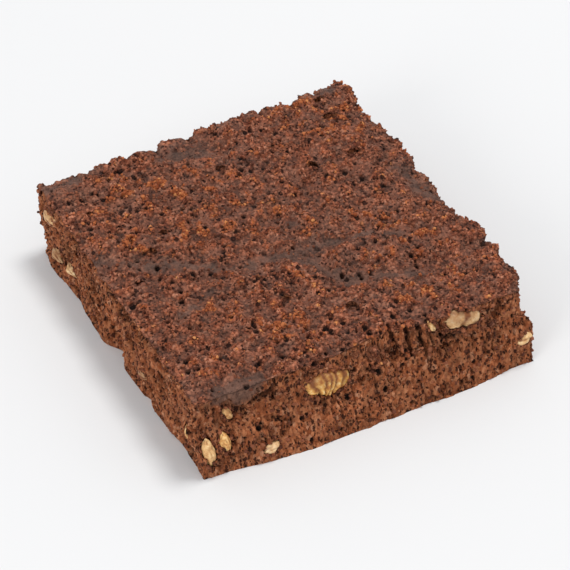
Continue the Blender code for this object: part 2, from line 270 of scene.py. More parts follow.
def crumb_material():
    """Baked chocolate crumb, dry and matt, with a faint gloss only where the crust's film is whole."""
    material, tree, shader = new_material("baked_chocolate_crumb", 0.8, 0.18)
    place = add_node(tree, "TexCoord")["Object"]
    pore, film, toast, cut = (
        add_node(tree, "Attribute", {"attribute_name": name})["Fac"]
        for name in ("pore", "film", "toast", "cut")
    )
    stretch = add_node(tree, "MapRange", {"To Min": 1.0, "To Max": WALL_STRETCH}, {"Value": cut})["Result"]
    stretch = add_node(tree, "CombineXYZ", {"X": 1.0, "Y": 1.0}, {"Z": stretch})["Vector"]
    drawn = add_node(tree, "VectorMath", {"operation": "MULTIPLY"}, {0: place, 1: stretch})["Vector"]
    settings = {"Scale": 1 / WOBBLE_ACROSS, "Detail": 2.0}
    wobble = add_node(tree, "TexNoise", settings, {"Vector": place})["Color"]
    settings = {"operation": "MULTIPLY_ADD", 1: (WOBBLE,) * 3}
    bent = add_node(tree, "VectorMath", settings, {0: wobble, 2: drawn})["Vector"]

    grains = add_node(tree, "TexVoronoi", {"Scale": 1 / GRAIN}, {"Vector": bent})
    draws = add_node(tree, "SeparateColor", links={"Color": grains["Color"]})
    crust = add_node(tree, "ValToRGB", links={"Fac": draws["Red"]}, stops=CRUST_BROWNS_AND_GLINT)["Color"]
    opened = add_node(tree, "ValToRGB", links={"Fac": draws["Red"]}, stops=CUT_BROWNS_AND_GLINT)["Color"]
    colour = add_node(tree, "Mix", COLOURS, {FACTOR: cut, UNDER: crust, OVER: opened})[MIXED]
    roasted = add_node(tree, "ValToRGB", links={"Fac": draws["Red"]}, stops=TOASTED_BROWNS)["Color"]
    chosen = add_node(tree, "Math", {"operation": "SUBTRACT"}, {0: toast, 1: draws["Green"]})["Value"]
    chosen = add_node(tree, "MapRange", {"From Max": 0.12}, {"Value": chosen})["Result"]
    colour = add_node(tree, "Mix", COLOURS, {FACTOR: chosen, UNDER: colour, OVER: roasted})[MIXED]

    settings = {"Scale": 1 / PATCH, "Detail": 5.0, "Roughness": 0.7}
    patches = add_node(tree, "TexNoise", settings, {"Vector": place})["Fac"]
    flecks = add_node(tree, "TexNoise", {"Scale": 1 / FLECK, "Detail": 2.0}, {"Vector": drawn})["Fac"]
    # Painted shade: each grain is drawn darker towards its cell's border, where the creases between grains
    # lie.
    crease = add_node(tree, "MapRange", {"From Min": 0.3, "From Max": 0.75}, {"Value": grains["Distance"]})
    darker = add_node(tree, "MapRange", PAINTED_CREASE_SHADE, {"Value": cut})["Result"]
    crease = add_node(tree, "Math", {"operation": "MULTIPLY"}, {0: crease["Result"], 1: darker})["Value"]
    shade = add_node(tree, "MapRange", PATCH_SHADES, {"Value": patches})["Result"]
    shade = add_node(tree, "Math", {"operation": "SUBTRACT"}, {0: shade, 1: crease})["Value"]
    flecks = add_node(tree, "MapRange", FLECK_SHADES, {"Value": flecks})["Result"]
    shade = add_node(tree, "Math", {"operation": "ADD"}, {0: shade, 1: flecks})["Value"]
    links = {0: colour, "Scale": shade}
    colour = add_node(tree, "VectorMath", {"operation": "SCALE"}, links)["Vector"]
    film_brown = add_node(tree, "ValToRGB", links={"Fac": patches}, stops=FILM_BROWNS)["Color"]
    cover = add_node(tree, "Math", {"operation": "MULTIPLY", 1: 0.95}, {0: film})["Value"]
    colour = add_node(tree, "Mix", COLOURS, {FACTOR: cover, UNDER: colour, OVER: film_brown})[MIXED]

    less = add_node(tree, "MapRange", FEWER_ON_CRUST, {"Value": cut})["Result"]
    pinpricks = voronoi_pores(tree, bent, PORES_APART, PINPRICK_RADII, less)
    less = add_node(tree, "MapRange", FEWER_ON_CUT, {"Value": cut})["Result"]
    bubbles = voronoi_pores(tree, bent, BUBBLES_APART, BUBBLE_RADII, less)
    settings = {"From Min": 0.5, "To Min": 1.0, "To Max": 0.35}
    open_crumb = add_node(tree, "MapRange", settings, {"Value": film})["Result"]
    pinpricks = add_node(tree, "Math", {"operation": "MULTIPLY"}, {0: pinpricks, 1: open_crumb})["Value"]
    bubbles = add_node(tree, "Math", {"operation": "MULTIPLY"}, {0: bubbles, 1: open_crumb})["Value"]
    pricked = add_node(tree, "Math", {"operation": "MAXIMUM"}, {0: pinpricks, 1: bubbles})["Value"]
    # Painted shade: pinpricks and small bubbles are drawn almost black, though only the bump dents them.
    for holes, share, brown in ((pinpricks, 0.9, "#33140a"), (bubbles, 0.93, "#260e06")):
        share = add_node(tree, "Math", {"operation": "MULTIPLY", 1: share}, {0: holes})["Value"]
        settings = {**COLOURS, OVER: linear(brown)}
        colour = add_node(tree, "Mix", settings, {FACTOR: share, UNDER: colour})[MIXED]
    # Painted shade: the mesh's open bubbles, slots and creases are drawn darker by the attribute "pore".
    settings = {**COLOURS, OVER: linear("#1a0c07")}
    colour = add_node(tree, "Mix", settings, {FACTOR: pore, UNDER: colour})[MIXED]
    tree.links.new(colour, shader.inputs["Base Color"])

    grit = add_node(tree, "TexNoise", {"Scale": 1 / FINE_GRIT, "Detail": 2.0}, {"Vector": place})["Fac"]
    height = add_node(tree, "Math", {"operation": "MULTIPLY", 1: 0.5}, {0: grit})["Value"]
    links = {0: height, 1: grains["Distance"]}
    height = add_node(tree, "Math", {"operation": "SUBTRACT"}, links)["Value"]
    deep = add_node(tree, "Math", {"operation": "MULTIPLY", 1: 1.2}, {0: pricked})["Value"]
    height = add_node(tree, "Math", {"operation": "SUBTRACT"}, {0: height, 1: deep})["Value"]
    bump = add_node(tree, "Bump", {"Strength": 1.0, "Distance": GRAIN_BUMP}, {"Height": height})
    tree.links.new(bump["Normal"], shader.inputs["Normal"])
    gloss = add_node(tree, "MapRange", {"To Min": 0.8, "To Max": 0.5}, {"Value": film})["Result"]
    tree.links.new(gloss, shader.inputs["Roughness"])
    return material


baked_crumb = crumb_material()
print("material:", baked_crumb.name)

# %% [markdown]
# The crumb starts as a copy of the solid, so its outline, its dents and the pockets of the nuts are
# already right. The solid's facets are far too coarse for pores, and their long thin triangles would
# tear when moved, so a voxel remesh lays an even skin of small squares over the same shape.

# %% Even skin over the crumb
CRUMB_NODE = "brownie_crumb"
SKIN_GRID = 0.27 * MM  # from one vertex of the skin to the next
FOOT = 0.16 * MM  # what lies lower than this is pressed flat on the table


def joined_copy(node_name):
    """A bmesh of a solid, whose loose triangles are joined at their corners."""
    bm = bmesh.new()
    bm.from_mesh(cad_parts[node_name].data)
    bmesh.ops.remove_doubles(bm, verts=bm.verts, dist=0.001 * MM)
    return bm


def after_modifier(mesh, kind, settings):
    """The mesh as one modifier leaves it."""
    work = bpy.data.objects.new("work", mesh)
    scene.collection.objects.link(work)
    modifier = work.modifiers.new(kind.lower(), kind)
    for key, value in settings.items():
        setattr(modifier, key, value)
    graph = bpy.context.evaluated_depsgraph_get()
    made = bpy.data.meshes.new_from_object(work.evaluated_get(graph))
    bpy.data.objects.remove(work)
    return made


crumb_bm = joined_copy(CRUMB_NODE)
crumb_mesh = bpy.data.meshes.new("crumb")
crumb_bm.to_mesh(crumb_mesh)
crumb_bm.free()
crumb_mesh = after_modifier(crumb_mesh, "REMESH", {"mode": "VOXEL", "voxel_size": SKIN_GRID})


def vertex_arrays(mesh):
    """The places and the normals of a mesh's vertices."""
    places = np.empty(len(mesh.vertices) * 3)
    normals = np.empty(len(mesh.vertices) * 3)
    mesh.vertices.foreach_get("co", places)
    mesh.vertex_normals.foreach_get("vector", normals)
    return places.reshape(-1, 3), normals.reshape(-1, 3)


places, normals = vertex_arrays(crumb_mesh)
on_foot = places[:, 2] < FOOT
print("skin:", len(places), "vertices,", int(on_foot.sum()), "of them on the table")

# %% [markdown]
# On the crust some stretches are a whole, smooth film, dark and greyish, where batter ran flat before it
# set. Elsewhere the film has burst and the crumb below is toasted orange-brown. Both are placed by
# strokes in plan, whose borders are frayed by noise. A slow noise gathers the rest of the crust into
# clusters of crumbs, which stand a little higher and are toasted on top.

# %% Film and toasted places on the crust
CLUSTER, CLUSTER_HEIGHT = 2.8 * MM, 0.6 * MM  # a cluster of crumbs that stands on the crust
FRAY_COARSE, FRAY_FINE = 2.6 * MM, 1.1 * MM  # the two sizes of noise that fray borders
CRUST_BAND = 12 * MM  # lowest height that can count as crust
TOAST_LEAST = 0.02  # share of the grains that are toasted anywhere
LIP_MIDDLE, LIP_HALF_SIZE = (-31, 17), (8, 5)  # on the front wall, along it and up it, in mm
FRONT_BAND = -38 * MM  # on Y: what lies before it belongs to the front wall
Stroke = namedtuple("Stroke", "start end half_width")  # millimetres in plan
FILM_STROKES = (
    Stroke((-42, 12), (-26, 1), 2.4),
    Stroke((-26, 1), (-12, -6), 1.8),
    Stroke((-12, -6), (9, -7.4), 2.5),
    Stroke((9, -7.4), (24, -12.8), 1.7),
    Stroke((-0.5, -8.2), (5.4, -19.9), 2.8),
    Stroke((5.4, -19.9), (21, -25.5), 2.7),
    Stroke((-30.6, -15), (-21.8, -10.3), 1.8),
    Stroke((-9, 39), (0, 36), 4.0),
    Stroke((36.5, 9), (37.5, -3), 3.2),
    Stroke((-35, -38), (-28, -39), 2.4),
    Stroke((-40, 38), (-32, 39), 3.0),
    Stroke((3.3, 2), (5, 0.6), 1.8),
    Stroke((32, 42.5), (37, 42), 2.4),
)
TOAST_STROKES = (
    Stroke((-21, 9), (0, 11), 2.8),
    Stroke((-31, 12), (-26, 10), 2.6),
    Stroke((-24, 28), (-6, 26), 4.2),
    Stroke((7, -1), (9, -2), 1.8),
    Stroke((28, 33), (36, 30), 4.2),
    Stroke((13, -17), (20, -17), 2.8),
    Stroke((26, -15), (29, -16), 2.2),
    Stroke((14, -30), (22, -33), 3.2),
    Stroke((-18, -29), (-12, -29), 2.8),
    Stroke((-25, -14), (-21, -17), 2.6),
    Stroke((19, -3), (24, -6), 2.6),
    Stroke((24, 42), (27, 42), 2.4),
)


def fray(place, wavelength):
    """Noise from about -1 to 1 at a place in the block."""
    return noise.noise(Vector(place) / wavelength)


def smooth_step(values, low, high):
    """From 0 below low to 1 above high, without a kink."""
    share = np.clip((values - low) / (high - low), 0, 1)
    return share * share * (3 - 2 * share)


def stroke_cover(strokes, plan):
    """How much each place in plan, in millimetres, is covered by the strokes: 1 in the middle, 0 outside."""
    cover = np.zeros(len(plan))
    for stroke in strokes:
        start, end = np.array(stroke.start), np.array(stroke.end)
        run = end - start
        share = np.clip((plan - start) @ run / (run @ run), 0, 1)
        distance = np.linalg.norm(plan - start - share[:, None] * run, axis=1)
        cover = np.maximum(cover, 1 - distance / (2 * stroke.half_width))
    return cover


def wall_film(places):
    """The smooth lip where batter ran over the front left corner, from 0 to 1."""
    along = (places[:, 0] / MM - LIP_MIDDLE[0]) / LIP_HALF_SIZE[0]
    up_wall = (places[:, 2] / MM - LIP_MIDDLE[1]) / LIP_HALF_SIZE[1]
    return 1.1 * np.clip(1 - along**2 - up_wall**2, 0, 1) * (places[:, 1] < FRONT_BAND)


frays = np.zeros(len(places))
clusters = np.zeros(len(places))
standing = normals[:, 2] > -0.7  # all of the skin but its underside
for number in np.flatnonzero(~on_foot):
    frays[number] = fray(places[number], FRAY_COARSE) + 0.6 * fray(places[number], FRAY_FINE)
    clusters[number] = fray(places[number], CLUSTER) + 0.5 * frays[number]
lying = smooth_step(normals[:, 2] + 0.22 * frays, 0.25, 0.7) * (places[:, 2] > CRUST_BAND)
film_cover = stroke_cover(FILM_STROKES, places[:, :2] / MM) * lying + wall_film(places)
strokes = smooth_step(film_cover + 0.4 * frays, 0.35, 1.0)
crumbly = smooth_step(clusters, -0.35, 0.25) * (1 - strokes)
film = np.maximum(0.9 * strokes, 0.5 * (1 - crumbly) * lying)
ripe = smooth_step(clusters, 0.1, 0.6)
toast = stroke_cover(TOAST_STROKES, places[:, :2] / MM) * (0.2 + 0.8 * ripe) + 0.28 * ripe
toast = TOAST_LEAST + 0.85 * toast.clip(0, 1) * lying * crumbly
print("film covers", round(float((film * lying).sum() / lying.sum()), 2), "of the crust")

# %% [markdown]
# The relief of crumb is grains packed side by side, with creases where they meet, in two sizes. A
# Voronoi pattern gives just that: it is high in the middle of a cell and low at its border. On the cut
# walls the knife dragged the grains down, so there the pattern is drawn out along Z. The drag also tore
# the walls: upright on the front and the back, sloping down to the front on the left and the right,
# where the square was pulled from its neighbour. Under the film the relief is less than half as high.

# %% Grains in relief
NOISE_SEED = 5  # of noise_vector, which would differ from run to run without it
CLUMP, CLUMP_HEIGHT = 2.2 * MM, 0.3 * MM  # clumps of grains
GRAIN_ACROSS, GRAIN_HEIGHT = 1.0 * MM, 0.36 * MM  # single grains
LUMP, LUMP_HEIGHT = 2.4 * MM, 0.32 * MM  # unevenness without borders
CRUST_ROUGHER = 0.45  # how much higher the relief is on the crust than on the walls
FILM_SMOOTHER = 0.6  # how much lower it is under the film
TEAR_ACROSS = 1.5 * MM  # from one tear to the next
TEAR_DEPTH, LEFT_TEAR_DEPTH = 0.8 * MM, 1.6 * MM  # the left wall is torn twice as deep
TEAR_STRETCH = 0.2  # of the pattern along a tear, so that tears are five times longer than wide
TEAR_SLOPE = math.radians(26)  # of the tears on the left and right walls, down to the front
TEAR_PATCH = 8 * MM  # across a stretch of wall that is torn


noise.seed_set(NOISE_SEED)


def grain_relief(place, across):
    """From 0 in the crease between two grains to 1 on top of one."""
    distances, _ = noise.voronoi(place / across + noise.noise_vector(place / (3 * across)) * 0.5)
    return min(1.0, 2.0 * (distances[1] - distances[0]))


def tear_relief(place, way):
    """How deep the wall is torn at a place. way is the normal of the skin there."""
    if abs(way[0]) > abs(way[1]):
        along = place.y * math.cos(TEAR_SLOPE) + place.z * math.sin(TEAR_SLOPE)
        across = place.z * math.cos(TEAR_SLOPE) - place.y * math.sin(TEAR_SLOPE)
        drawn = Vector((place.x, along * TEAR_STRETCH, across)) / TEAR_ACROSS
    else:
        drawn = Vector((place.x, place.y, place.z * TEAR_STRETCH)) / TEAR_ACROSS
    ridge = max(0.0, 1 - 3.2 * abs(noise.noise(drawn)))
    torn = min(1.0, max(0.0, 0.5 + 2.5 * noise.noise(place / TEAR_PATCH)))
    return ridge * torn * (LEFT_TEAR_DEPTH if way[0] < -0.5 else TEAR_DEPTH)


def skin_relief(place, way, crusty, smooth):
    """How far the skin stands out at a place. crusty is 1 on the crust, smooth is 1 under its film."""
    point = Vector(place)
    if crusty < 0.5:
        point.z *= WALL_STRETCH
    height = CLUMP_HEIGHT * (grain_relief(point, CLUMP) - 0.6)
    height += GRAIN_HEIGHT * (grain_relief(point, GRAIN_ACROSS) - 0.6)
    height += LUMP_HEIGHT * noise.fractal(point / LUMP, 1.0, 2.2, 3)
    height -= tear_relief(Vector(place), way) * (1 - crusty)
    return height * (1 + CRUST_ROUGHER * crusty) * (1 - FILM_SMOOTHER * smooth)


relief = np.zeros(len(places))
for number in np.flatnonzero(standing & ~on_foot):
    relief[number] = skin_relief(places[number], normals[number], lying[number], film[number])
print("relief from", round(relief.min() / MM, 2), "to", round(relief.max() / MM, 2), "mm")

# %% [markdown]
# The deepest tears are slots, placed one by one where the crust's rim broke as the knife came down. Their
# edges are bent by the same frays as the film, so that none is straight.
#
# The back rim of the crust is a row of round lobes, where the batter rose in humps. They are raised
# between notches, whose places are listed. Then the skin is moved along its normals.

# %% Slots and lobes
BACK_NOTCHES = (-37, -28, -22, -17.7, -9.7, -1.2, 4.7, 13, 18.5, 26, 33.5)  # along X, in mm
NOTCH_WIDTH = 1.6  # from the bottom of a notch to the full height of a lobe, in mm
LOBE_HEIGHT = 1.0 * MM  # of the round lobes between the notches of the back rim
RIM_SMOOTHER = 0.55  # how much lower the rest of the relief is on the back rim
Slot = namedtuple("Slot", "wall start end width depth")  # ends as (along, up), all in mm
SLOTS = (
    Slot("front", (5.6, 18.6), (6.8, 13), 0.7, 1.6),
    Slot("front", (9.0, 18.4), (9.8, 12.0), 0.6, 1.6),
    Slot("front", (11.4, 18.6), (13.2, 11), 0.6, 1.8),
    Slot("front", (14.2, 15.6), (14.9, 12.4), 0.35, 1.1),
    Slot("front", (16.4, 14.4), (19.6, 13.4), 0.8, 1.4),
    Slot("front", (21.5, 13.2), (21.2, 9), 0.3, 0.7),
    Slot("front", (24.5, 13), (24.8, 8.5), 0.3, 0.7),
    Slot("front", (18.4, 12), (18.2, 9), 0.3, 0.7),
    Slot("front", (-23.5, 15.5), (-31, 12.4), 0.9, 1.6),
    Slot("front", (-22.4, 17.5), (-23.6, 13.6), 0.6, 1.2),
    Slot("front", (2.5, 17), (3.2, 8), 0.25, 0.6),
    Slot("front", (-0.6, 15.5), (0.4, 7.5), 0.25, 0.6),
    Slot("front", (28.4, 15), (28.8, 11), 0.3, 0.7),
    Slot("front", (-5, 11), (-4.6, 5), 0.3, 0.6),
    Slot("left", (21.9, 18.4), (17.9, 16.4), 1, 2),
    Slot("left", (3.3, 16.8), (0.9, 15.4), 0.9, 1.7),
    Slot("left", (-2.8, 16.8), (-5.4, 15), 0.9, 1.7),
    Slot("left", (22.4, 13.2), (19, 11.9), 0.7, 1.3),
    Slot("left", (13.5, 2.6), (10.1, 1.2), 0.8, 1.4),
    Slot("left", (34, 14), (29, 11.6), 0.5, 1.2),
    Slot("left", (28.4, 13.2), (24.6, 11.4), 0.5, 1.1),
    Slot("left", (-19.4, 17.4), (-24, 14), 1, 1.5),
)


def slot_relief(slot, along, height):
    """How deep a slot is at places on the wall, from 0 to its depth."""
    start, end = (np.array(corner) for corner in (slot.start, slot.end))
    spot = np.stack([along, height], axis=1) - start
    part = np.clip(spot @ (end - start) / ((end - start) @ (end - start)), 0, 1)
    away = np.linalg.norm(spot - part[:, None] * (end - start), axis=1)
    return slot.depth * (1 - smooth_step(away / slot.width, 0.35, 1))


slots = np.zeros(len(places))
to_notch = np.abs(places[:, :1] / MM - np.array(BACK_NOTCHES)).min(axis=1)
on_back_rim = smooth_step(places[:, 1] / MM, 39.5, 41.5) * smooth_step(places[:, 2] / MM, 13, 17)
relief *= 1 - RIM_SMOOTHER * on_back_rim
relief += LOBE_HEIGHT * on_back_rim * (smooth_step(to_notch, 0, NOTCH_WIDTH) - 0.7)
for wall, out, along in (("front", 1, 0), ("left", 0, 1)):
    on_wall = normals[:, out] < -0.4
    run = places[on_wall, along] / MM + 0.45 * frays[on_wall]
    height = places[on_wall, 2] / MM
    deepest = np.max([slot_relief(slot, run, height) for slot in SLOTS if slot.wall == wall], axis=0)
    deepest *= (0.95 + 0.5 * clusters[on_wall]).clip(0.5, 1.1)
    slots[on_wall] = np.maximum(slots[on_wall], deepest)
relief += CLUSTER_HEIGHT * crumbly * lying - slots * MM
places = places + relief[:, None] * normals
print(len(SLOTS), "slots, the deepest", round(slots.max(), 1), "mm")

# %% [markdown]
# Open bubbles are what makes it cake. The largest are in the solid already. Here come some on the crust
# and the walls, placed one by one, and a crowd of smaller ones drawn at random, many small and few large,
# with a fixed seed. Each pushes the skin in along one direction, steeply at its rim, so it reads as a
# hole and not as a dimple. What lies deep, in pores, slots or creases, gets painted shade: it is drawn
# darker.

# %% Open bubbles
SEED = 7
Hole = namedtuple("Hole", "side place radius")  # place on the crust is (x, y), on a wall (along, up), in mm
HOLES = (
    Hole("crust", (-30, 30), 0.8), Hole("crust", (-10, 15), 0.8), Hole("crust", (11, 13.6), 0.7),
    Hole("crust", (10, 18), 0.6), Hole("crust", (24, 12), 0.7), Hole("crust", (33, 12), 0.8),
    Hole("crust", (-7, 21.6), 0.7), Hole("crust", (-18, 19), 0.6), Hole("crust", (-10, -14), 0.8),
    Hole("crust", (7, 5), 0.7), Hole("crust", (-37.5, -28), 0.9), Hole("crust", (-32, -36), 0.7),
    Hole("crust", (-3, -34), 0.8), Hole("crust", (-7.5, -33), 0.8), Hole("crust", (-22, -5), 0.7),
    Hole("crust", (-39, -7), 0.9), Hole("crust", (-37, 20), 0.7),
    Hole("front", (16.6, 14.2), 0.9), Hole("front", (19.6, 13.6), 0.8), Hole("front", (1.5, 12.5), 0.8),
    Hole("front", (2.5, 6.8), 0.7), Hole("front", (23.5, 1.8), 0.6), Hole("front", (31.4, 2.2), 0.6),
    Hole("front", (24.7, 5.8), 0.5), Hole("front", (7.4, 10.6), 0.6), Hole("front", (-28, 9.6), 0.7),
    Hole("front", (-18.2, 8.4), 0.6), Hole("front", (-5.5, 9.6), 0.8), Hole("front", (-16.6, 2), 0.6),
    Hole("left", (18.5, 16.5), 0.9), Hole("left", (1.3, 16.5), 0.9), Hole("left", (-3.6, 15), 0.8),
    Hole("left", (-20, 15.5), 0.8), Hole("left", (-29.2, 8.1), 0.6), Hole("left", (-37.7, 9.4), 0.6),
    Hole("left", (-13.7, 15.5), 0.6), Hole("left", (12.8, 16), 0.7), Hole("left", (-39.9, 14), 0.5),
)
PoreCrowd = namedtuple("PoreCrowd", "count smallest largest small_share")
CRUST_CROWD = PoreCrowd(1500, 0.25 * MM, 0.7 * MM, 3.0)
WALL_CROWD = PoreCrowd(1500, 0.2 * MM, 0.5 * MM, 3.0)
rng = np.random.default_rng(SEED)
low, high = (Vector(corner) for corner in cad_box)


def draw_pores(crowd, weights):
    """Vertex numbers and radii of pores drawn with the given weights, many small and few large."""
    chosen = rng.choice(len(weights), size=crowd.count, replace=False, p=weights / weights.sum())
    spread = (crowd.largest - crowd.smallest) * rng.random(crowd.count) ** crowd.small_share
    return list(zip(chosen, crowd.smallest + spread))


def outside_point(hole):
    """A point just outside the block from which the hole's place is the nearest."""
    first, second = (value * MM for value in hole.place)
    return {
        "crust": Vector((first, second, high.z)),
        "front": Vector((first, low.y, second)),
        "left": Vector((low.x, first, second)),
    }[hole.side]


skin_tree = kdtree.KDTree(len(places))
for number, place in enumerate(places):
    skin_tree.insert(place, number)
skin_tree.balance()
pores = [(skin_tree.find(outside_point(hole))[1], hole.radius * MM) for hole in HOLES]
pores += draw_pores(CRUST_CROWD, lying * (1 - 0.9 * film))
pores += draw_pores(WALL_CROWD, (standing & ~on_foot) * (1 - lying) * (1 - 0.8 * film))

RIM = 1.2  # how far the hole's rim reaches, in radii
DEEP_PORE = 0.75 * MM  # a hole this deep is drawn in the darkest brown
depth = np.zeros(len(places))
sunk = np.zeros_like(places)
for number, radius in pores:
    inward = -normals[number]
    full = 1.1 * radius + 0.15 * MM
    for _, near, distance in skin_tree.find_range(places[number], RIM * radius):
        push = full * min(1.0, 2.2 * (RIM - distance / radius))
        if push > depth[near]:
            depth[near] = push
            sunk[near] = inward * push
places = places + sunk
# Painted shade in recesses: the deeper a point lies in a hole, in a slot, or low between grains and
# clusters, the darker it is drawn.
pore = np.clip(depth / DEEP_PORE, 0, 1)
pore = np.maximum(pore, np.clip(0.5 * slots, 0, 0.8))
sunken = -relief / MM + 0.4 * crumbly * lying
pore = np.maximum(pore, (0.45 + 0.25 * lying) * smooth_step(sunken, 0.25, 1.1))
print(len(pores), "open bubbles")

# %% [markdown]
# The moved vertices go back into the mesh with the attributes that the material reads. The fine grid is
# cut in two along the upper edge: the crust above, and the cut sides with the foot below. Decimate then
# takes faces away where the surface is plain, most of all on the flat foot, and keeps the pores' rims.

# %% Crust and sides
MOST_TRIANGLES = 192_000

places[on_foot, 2] = 0
places[:, 2] = places[:, 2].clip(min=0)
crumb_mesh.vertices.foreach_set("co", places.ravel())
for name, values in (("pore", pore), ("film", film), ("toast", toast), ("cut", 1 - lying)):
    crumb_mesh.attributes.new(name, "FLOAT", "POINT").data.foreach_set("value", values)
loop_vertices = np.empty(len(crumb_mesh.loops), dtype=int)
loop_starts = np.empty(len(crumb_mesh.polygons), dtype=int)
crumb_mesh.loops.foreach_get("vertex_index", loop_vertices)
crumb_mesh.polygons.foreach_get("loop_start", loop_starts)
on_crust = lying[loop_vertices[loop_starts]] > 0.5


def crumb_piece(name, kept):
    """The kept faces of the crumb as a piece of their own."""
    bm = bmesh.new()
    bm.from_mesh(crumb_mesh)
    bm.faces.ensure_lookup_table()
    left_out = [bm.faces[number] for number in np.flatnonzero(~kept)]
    bmesh.ops.delete(bm, geom=left_out, context="FACES")
    piece = finish_mesh(name, bm, baked_crumb)
    share = min(1.0, MOST_TRIANGLES / (2 * len(piece.data.polygons)))
    piece.data = after_modifier(piece.data, "DECIMATE", {"ratio": share})
    piece.data.shade_smooth()
    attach(piece, "root")
    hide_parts(CRUMB_NODE)
    piece.data.calc_loop_triangles()
    print(name, len(piece.data.loop_triangles), "triangles, share kept", round(share, 2))


crumb_piece("crust", on_crust)
crumb_piece("cut_sides", ~on_crust)

# %% [markdown]
# Walnut kernel is cream to golden where it is cut, with a papery brown skin in its folds. One piece is
# more golden than the next, so each carries its own tone in an attribute. Another says where it is drawn
# brown: the skin left on it, its streaks, the folds between its ribs, where the brown is skin and painted
# shade at once, and painted shade on the upper part of a ribbed piece, which sits under the crust's edge.
# Blots of noise give the flesh its mottled look.

# %% Walnut material
BLOT = 1.1 * MM  # across a blot of darker or paler flesh
GOLDEN_FLESH = ((0.3, "#9c5c2a"), (0.42, "#d28d3a"), (0.56, "#f2ba5f"), (0.7, "#fbdfa2"))
CREAM_FLESH = ((0.3, "#b08150"), (0.45, "#d9ad7b"), (0.6, "#eac797"), (0.75, "#f5ddba"))


def walnut_material():
    """Cut walnut kernel: pale, a little oily, with brown skin and painted shade in the folds."""
    material, tree, shader = new_material("walnut_kernel_with_skin", 0.55, 0.35)
    place = add_node(tree, "TexCoord")["Object"]
    fold, tone = (
        add_node(tree, "Attribute", {"attribute_name": name})["Fac"] for name in ("fold", "tone")
    )
    settings = {"Scale": 1 / BLOT, "Detail": 4.0, "Roughness": 0.65}
    blots = add_node(tree, "TexNoise", settings, {"Vector": place})["Fac"]
    golden = add_node(tree, "ValToRGB", links={"Fac": blots}, stops=GOLDEN_FLESH)["Color"]
    cream = add_node(tree, "ValToRGB", links={"Fac": blots}, stops=CREAM_FLESH)["Color"]
    colour = add_node(tree, "Mix", COLOURS, {FACTOR: tone, UNDER: golden, OVER: cream})[MIXED]
    # The brown laid over by the attribute "fold" is skin, and painted shade where that attribute holds it.
    settings = {**COLOURS, OVER: linear("#7d4722")}
    colour = add_node(tree, "Mix", settings, {FACTOR: fold, UNDER: colour})[MIXED]
    tree.links.new(colour, shader.inputs["Base Color"])
    bump = add_node(tree, "Bump", {"Strength": 0.5, "Distance": 0.12 * MM}, {"Height": blots})
    tree.links.new(bump["Normal"], shader.inputs["Normal"])
    return material


walnut = walnut_material()
print("material:", walnut.name)

# %% [markdown]
# Each walnut piece starts as a copy of its solid and is subdivided until it is smooth. Its long way is
# read from how its vertices are spread. The two big pieces show soft ribs across their long way. The
# others were cut along the grain, so they are streaked along it.

# %% Walnut pieces
RIB_DEPTH, RIB_HANG = 0.55 * MM, 0.6 * MM  # of the folds between ribs, and how low the ribs reach
RIB_WANDER = 3.0 * MM  # size of the noise that bends the ribs
STREAK, STREAK_DEPTH = 0.5 * MM, 0.2 * MM  # across and deep
KNOBBLE, KNOBBLE_HEIGHT = 1.5 * MM, 0.16 * MM  # small unevenness on every piece
Nut = namedtuple("Nut", "ribs tone pointed skin swell")  # tone is 0 when golden and 1 when cream
NUTS = {
    "walnut_front_middle": Nut(7, 0.15, 0.0, 0.0, 0.35),
    "walnut_front_right": Nut(2, 0.9, 0.1, 0.0, 0.3),
    "walnut_front_low": Nut(0, 1.0, 0.0, -0.35, 0.1),
    "walnut_corner": Nut(0, 0.7, 0.5, -0.35, 0.2),
    "walnut_front_left": Nut(0, 0.4, 0.3, -0.2, 0.1),
    "walnut_right_corner": Nut(0, 0.8, 0.1, -0.1, 0.4),
    "walnut_left_low": Nut(0, 0.9, 0.8, 0.0, 0.1),
    "walnut_left_back": Nut(0, 1.0, 0.4, 0.45, 0.2),
    "walnut_left_high": Nut(0, 0.8, 0.2, 0.25, 0.8),
    "walnut_left_middle": Nut(0, 1.0, 0.2, 0.6, 0.25),
}
OTHER_NUT = Nut(0, 0.6, 0.4, 0.1, 0.25)


def nut_skin(node_name):
    """The solid of a nut, subdivided until it is smooth."""
    bm = joined_copy(node_name)
    mesh = bpy.data.meshes.new(node_name)
    bm.to_mesh(mesh)
    bm.free()
    levels = 2 if len(mesh.polygons) > 100 else 3
    return after_modifier(mesh, "SUBSURF", {"levels": levels, "render_levels": levels})


def rib_folds(offsets, along, ribs):
    """How far each vertex lies in a fold between two ribs, from 0 to 1, and how its rib differs."""
    wander = np.array([noise.noise(Vector(offset) / RIB_WANDER) for offset in offsets])
    phase = (along + 0.12 * np.sin(5 * along) + 0.16 * wander) * ribs / 2
    differ = np.array([noise.noise(Vector((math.floor(value) * 3.7, 0.4, 0.9))) for value in phase + 0.5])
    return np.cos(phase * math.pi) ** 4 * (0.95 + 0.6 * differ).clip(0.65, 1), differ


